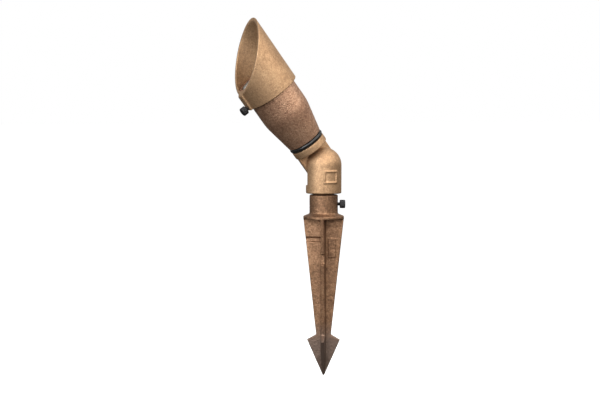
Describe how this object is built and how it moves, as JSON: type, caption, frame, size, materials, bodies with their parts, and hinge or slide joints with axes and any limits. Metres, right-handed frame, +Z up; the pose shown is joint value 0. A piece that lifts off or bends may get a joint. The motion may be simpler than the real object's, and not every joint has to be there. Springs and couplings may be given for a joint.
{
  "type": "garden spike spotlight",
  "caption": "Cast bronze garden spotlight: a bullet body with a slanted glare cowl on a half-lap tilting knuckle, turning in the collar of a four-fin ground spike.",
  "frame": {"origin": "on the ground spike's axis, at the underside of its flange, which is the ground line", "axes": "+Z up along the spike's axis; the knuckle's bolt lies along Y; the head tilts in the XZ plane and leans towards -X at rest"},
  "size_m": [0.1254, 0.0648, 0.4111],
  "materials": {
    "bronze": "sand-cast bronze, raw",
    "turned_bronze": "bronze, smoother",
    "black_brass": "black coated, semi-gloss",
    "nylon": "natural nylon",
    "stainless": "stainless steel",
    "black_rubber": "smooth, a little glossy",
    "clear_glass": "clear tempered glass",
    "mirror_glass": "mirror-coated glass bowl",
    "white_ceramic": "unglazed",
    "plated_pin": "nickel plated",
    "lead_sleeve": "woven sleeve"
  },
  "bodies": {
    "spike": {"ground_spike": "bronze"},
    "spike_screw": {"spike_thumb_screw": "black_brass", "spike_screw_pad": "nylon"},
    "stem_and_knuckle_foot": {"threaded_stem": "turned_bronze", "knuckle_lower_half": "turned_bronze", "knuckle_seal": "black_rubber"},
    "head": {"knuckle_upper_half": "turned_bronze", "knuckle_bolt": "stainless", "knuckle_washer": "stainless", "body_oring": "black_rubber", "body_shell": "bronze", "lens_gasket": "black_rubber", "lens": "clear_glass", "lens_retainer": "stainless", "lamp_reflector": "mirror_glass", "lamp_cover_glass": "clear_glass", "lamp_base": "white_ceramic", "lamp_pins": "plated_pin", "lamp_capsule": "clear_glass", "lamp_clip": "stainless", "lamp_holder": "white_ceramic", "leads": "lead_sleeve", "wire_seal": "black_rubber"},
    "cowl_ring": {"cowl_slip_ring": "nylon"},
    "cowl": {"glare_cowl": "turned_bronze"},
    "cowl_screw": {"cowl_thumb_screw": "black_brass", "cowl_screw_pad": "nylon"}
  },
  "joints": [
    {"name": "swivel", "type": "hinge", "parent": "spike", "child": "stem_and_knuckle_foot", "pos_m": [0, 0, 0.028], "axis": [0, 0, 1], "range_deg": [-180, 180]},
    {"name": "tilt", "type": "hinge", "parent": "stem_and_knuckle_foot", "child": "head", "pos_m": [0, 0.004, 0.062], "axis": [0, 1, 0], "range_deg": [-53, 127]},
    {"name": "cowl_slide", "type": "slide", "parent": "head", "child": "cowl_ring", "axis": [-0.6018, 0, 0.7986], "range_m": [-0.012, 0.008]},
    {"name": "cowl_turn", "type": "hinge", "parent": "cowl_ring", "child": "cowl", "pos_m": [-0.0662, 0.004, 0.14985], "axis": [-0.6018, 0, 0.7986], "range_deg": [-180, 180]},
    {"name": "cowl_screw_turn", "type": "hinge", "parent": "cowl", "child": "cowl_screw", "pos_m": [-0.09498, 0.004, 0.1249], "axis": [-0.7986, 0, -0.6018], "range_deg": [0, 720]},
    {"name": "spike_screw_turn", "type": "hinge", "parent": "spike", "child": "spike_screw", "pos_m": [0.01766, -0.00939, 0.0171], "axis": [0.8829, -0.4695, 0], "range_deg": [0, 720]}
  ]
}
